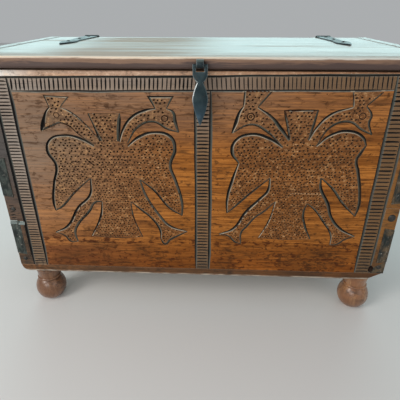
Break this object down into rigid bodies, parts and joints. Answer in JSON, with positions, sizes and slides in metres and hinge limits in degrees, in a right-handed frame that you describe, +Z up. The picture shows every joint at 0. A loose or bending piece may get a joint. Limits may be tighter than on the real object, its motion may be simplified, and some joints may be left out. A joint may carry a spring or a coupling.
{
  "type": "carved wooden chest",
  "caption": "Dovetailed plank storage chest on turned ball feet, with a carved front, a lid that swings up on strap hinges and a hasp that hangs over the front.",
  "frame": {"origin": "on the floor under the middle of the chest's overall box", "axes": "+X to the right along the chest's length, +Y from the carved front to the back, +Z up"},
  "size_m": [0.856, 0.4814, 0.5636],
  "materials": {
    "carved_wood": "waxed, carved, dark in the cuts",
    "chest_wood": "plain, worn",
    "end_wood": "plain, worn, dark end grain on the pins",
    "bottom_wood": "rough, worn",
    "foot_wood": "turned, polished",
    "lid_wood": "waxed, worn",
    "peg_wood": "end grain",
    "forged_iron": "forged, blackened",
    "nail_iron": "forged, rusted"
  },
  "bodies": {
    "box": {"front_board": "carved_wood", "back_board": "chest_wood", "left_end_board": "end_wood", "right_end_board": "end_wood", "corner_nails": "nail_iron", "bottom_plank_front": "bottom_wood", "bottom_plank_middle": "bottom_wood", "bottom_plank_back": "bottom_wood", "bottom_nails": "nail_iron", "front_left_foot": "foot_wood", "front_right_foot": "foot_wood", "back_left_foot": "foot_wood", "back_right_foot": "foot_wood", "foot_wedges": "peg_wood", "left_hinge_back_leaf": "forged_iron", "right_hinge_back_leaf": "forged_iron", "left_hinge_pin": "forged_iron", "right_hinge_pin": "forged_iron", "back_leaf_nails": "nail_iron"},
    "lid": {"lid_board": "lid_wood", "lid_left_cleat": "lid_wood", "lid_right_cleat": "lid_wood", "cleat_pegs": "peg_wood", "left_hinge_lid_strap": "forged_iron", "right_hinge_lid_strap": "forged_iron", "lid_strap_nails": "nail_iron", "hasp_eye": "forged_iron"},
    "hasp": {"hasp": "forged_iron"}
  },
  "joints": [
    {"name": "lid_hinge", "type": "hinge", "parent": "box", "child": "lid", "pos_m": [0, 0.23568, 0.5584], "axis": [-1, 0, 0], "range_deg": [0, 110]},
    {"name": "hasp_swing", "type": "hinge", "parent": "lid", "child": "hasp", "pos_m": [0.0035, -0.23012, 0.5459], "axis": [-1, 0, 0], "range_deg": [0, 170]}
  ]
}
